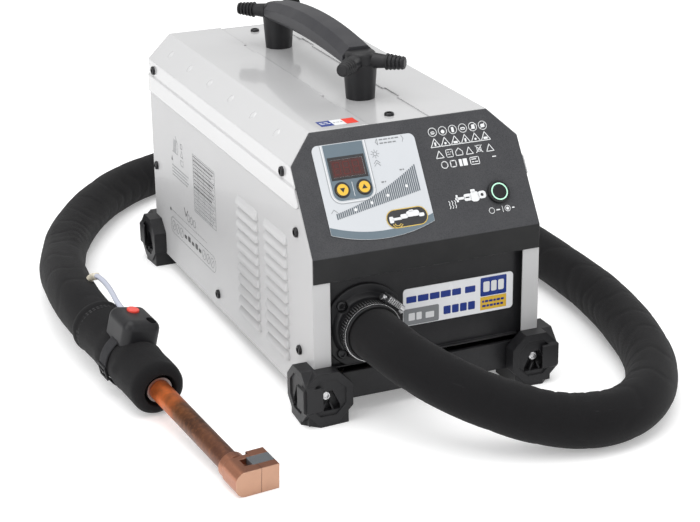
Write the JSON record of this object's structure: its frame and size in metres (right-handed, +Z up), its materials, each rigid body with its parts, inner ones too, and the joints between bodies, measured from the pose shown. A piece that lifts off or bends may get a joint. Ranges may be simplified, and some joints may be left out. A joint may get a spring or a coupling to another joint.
{
  "type": "portable induction heater",
  "caption": "Liquid-cooled induction heater: white sheet-metal power source with carry handle, textile-sleeved umbilical and hand torch with a copper inductor head.",
  "frame": {"origin": "on the floor under the middle of the case", "axes": "+Z up, front panel towards -Y, +X to the right of the case seen from the front"},
  "size_m": [0.5621, 0.9009, 0.314],
  "materials": {
    "case_white": "satin powder coat",
    "bezel_grey": "fine textured powder coat",
    "panel_black": "satin powder coat",
    "plastic_black": "fine moulded texture",
    "grip_grey": "moulded",
    "film": "printed film",
    "window": "polished",
    "yellow": "gloss",
    "glow": "translucent",
    "red": "gloss",
    "screw_black": "black oxide",
    "steel": "zinc plated",
    "aluminium": "extruded",
    "copper": "machined copper",
    "ferrite": "ground",
    "sleeve": "woven textile sleeve",
    "former": "insulating former",
    "lead": "smooth jacket",
    "circuit": "solder mask",
    "tank": "translucent"
  },
  "bodies": {
    "case": {"base_tray": "panel_black", "capacitors": "aluminium", "case_screws": "screw_black", "control_bezel": "bezel_grey", "coolant_tank": "tank", "display_board": "circuit", "display_window": "window", "fan_frame": "plastic_black", "flange_screws": "screw_black", "foot_screws": "steel", "front_handle_end": "plastic_black", "front_left_foot": "plastic_black", "front_panel": "panel_black", "front_right_foot": "plastic_black", "handle_grip": "grip_grey", "handle_screws": "steel", "heat_sink": "aluminium", "hose_clamp_band": "panel_black", "hose_flange": "plastic_black", "inverter_board": "circuit", "keypad_overlay": "film", "label_plate": "film", "left_side_panel": "case_white", "left_top_cover": "case_white", "mains_filter": "aluminium", "mains_gland": "plastic_black", "output_transformer": "ferrite", "power_button_housing": "plastic_black", "power_button_ring": "glow", "pump_body": "plastic_black", "radiator": "aluminium", "rear_handle_end": "plastic_black", "rear_left_foot": "plastic_black", "rear_panel": "panel_black", "rear_right_foot": "plastic_black", "right_side_panel": "case_white", "right_top_cover": "case_white", "top_rail": "case_white", "torch_core": "former", "torch_sleeve": "sleeve", "transformer_bracket": "panel_black", "trigger_housing": "plastic_black", "trigger_lead": "lead", "trigger_screw": "steel", "trigger_strap": "sleeve", "umbilical_hose": "sleeve"},
    "power_cap": {"power_button_cap": "plastic_black"},
    "down_key": {"key_down": "yellow"},
    "up_key": {"key_up": "yellow"},
    "trigger": {"trigger_button": "red"},
    "fan": {"fan_rotor": "plastic_black"},
    "pump_rotor": {"pump_impeller": "plastic_black"},
    "clamp_screw": {"hose_clamp_screw": "steel"},
    "filler_cap": {"coolant_cap": "plastic_black"},
    "torch_nut": {"nose_nut": "steel"},
    "inductor": {"lance_tube": "copper", "head_collar": "copper", "inductor_body": "copper", "inductor_tip": "copper", "ferrite_core": "ferrite"}
  },
  "joints": [
    {"name": "power_press", "type": "slide", "parent": "case", "child": "power_cap", "axis": [0, 0.8334, -0.5527], "range_m": [0, 0.0025], "stiffness_N_per_m": 1000},
    {"name": "key_down_press", "type": "slide", "parent": "case", "child": "down_key", "axis": [0, 0.8334, -0.5527], "range_m": [0, 0.0008], "stiffness_N_per_m": 1500},
    {"name": "key_up_press", "type": "slide", "parent": "case", "child": "up_key", "axis": [0, 0.8334, -0.5527], "range_m": [0, 0.0008], "stiffness_N_per_m": 1500},
    {"name": "trigger_press", "type": "slide", "parent": "case", "child": "trigger", "axis": [-0.2151, 0.0514, -0.9752], "range_m": [0, 0.002], "stiffness_N_per_m": 1200},
    {"name": "fan_spin", "type": "hinge", "parent": "case", "child": "fan", "pos_m": [0.038, 0.204, 0.12], "axis": [0, 1, 0], "continuous": true},
    {"name": "pump_spin", "type": "hinge", "parent": "case", "child": "pump_rotor", "pos_m": [-0.072, 0.1628, 0.055], "axis": [0, 1, 0], "continuous": true},
    {"name": "clamp_screw_turn", "type": "hinge", "parent": "case", "child": "clamp_screw", "pos_m": [-0.04169, -0.242, 0.10921], "axis": [0.766, 0, -0.6428], "range_deg": [-720, 720]},
    {"name": "filler_cap_turn", "type": "hinge", "parent": "case", "child": "filler_cap", "pos_m": [-0.072, 0.242, 0.193], "axis": [0, 1, 0], "range_deg": [-90, 0]},
    {"name": "torch_nut_turn", "type": "hinge", "parent": "case", "child": "torch_nut", "pos_m": [-0.2409, -0.15607, 0.02684], "axis": [-0.1129, 0.9906, 0.0771], "range_deg": [0, 720]},
    {"name": "inductor_pull", "type": "slide", "parent": "case", "child": "inductor", "axis": [0.1129, -0.9906, -0.0771], "range_m": [0, 0.04]}
  ]
}
